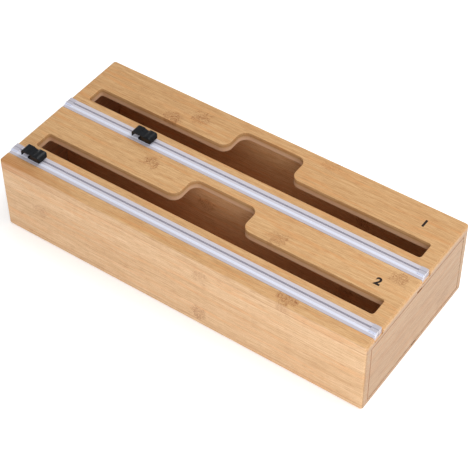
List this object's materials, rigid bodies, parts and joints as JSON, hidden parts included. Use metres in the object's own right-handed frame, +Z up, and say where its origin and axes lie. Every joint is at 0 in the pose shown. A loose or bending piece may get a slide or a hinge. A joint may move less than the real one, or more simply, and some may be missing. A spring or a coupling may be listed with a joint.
{
  "type": "cling film dispenser",
  "caption": "Wooden box with two roll bays: film or foil comes up through a slot, crosses a clear rail and is cut by a slide cutter; a magnetic end door takes the rolls.",
  "frame": {"origin": "middle of the base, on the surface that the box stands on", "axes": "+X along the rolls towards the door, +Y to the back, +Z up"},
  "size_m": [0.345, 0.15, 0.0806],
  "materials": {
    "bamboo": "caramel bamboo, laminated strips, thin matt lacquer",
    "clear_plastic": "clear moulded plastic, milky over wood",
    "black_plastic": "black moulded plastic, satin",
    "blade_steel": "ground stainless steel",
    "ferrite": "dark ferrite magnet, matt"
  },
  "bodies": {
    "case": {"top_panel": "bamboo", "bottom_panel": "bamboo", "front_wall": "bamboo", "back_wall": "bamboo", "left_end": "bamboo", "divider": "bamboo", "frame_magnet_top": "ferrite", "frame_magnet_bottom": "ferrite", "front_rail": "clear_plastic", "front_rail_left_stop": "clear_plastic", "front_rail_right_stop": "clear_plastic", "rear_rail": "clear_plastic", "rear_rail_left_stop": "clear_plastic", "rear_rail_right_stop": "clear_plastic"},
    "door": {"door": "bamboo", "door_magnet_top": "ferrite", "door_magnet_bottom": "ferrite"},
    "front_cutter": {"front_cutter_runner": "black_plastic", "front_cutter_grip": "black_plastic", "front_cutter_blade": "blade_steel"},
    "rear_cutter": {"rear_cutter_runner": "black_plastic", "rear_cutter_grip": "black_plastic", "rear_cutter_blade": "blade_steel"}
  },
  "joints": [
    {"name": "door_pull", "type": "slide", "parent": "case", "child": "door", "axis": [1, 0, 0], "range_m": [0, 0.1]},
    {"name": "front_cutter_slide", "type": "slide", "parent": "case", "child": "front_cutter", "axis": [1, 0, 0], "range_m": [-0.0114, 0.3065]},
    {"name": "rear_cutter_slide", "type": "slide", "parent": "case", "child": "rear_cutter", "axis": [1, 0, 0], "range_m": [-0.0704, 0.2475]}
  ]
}
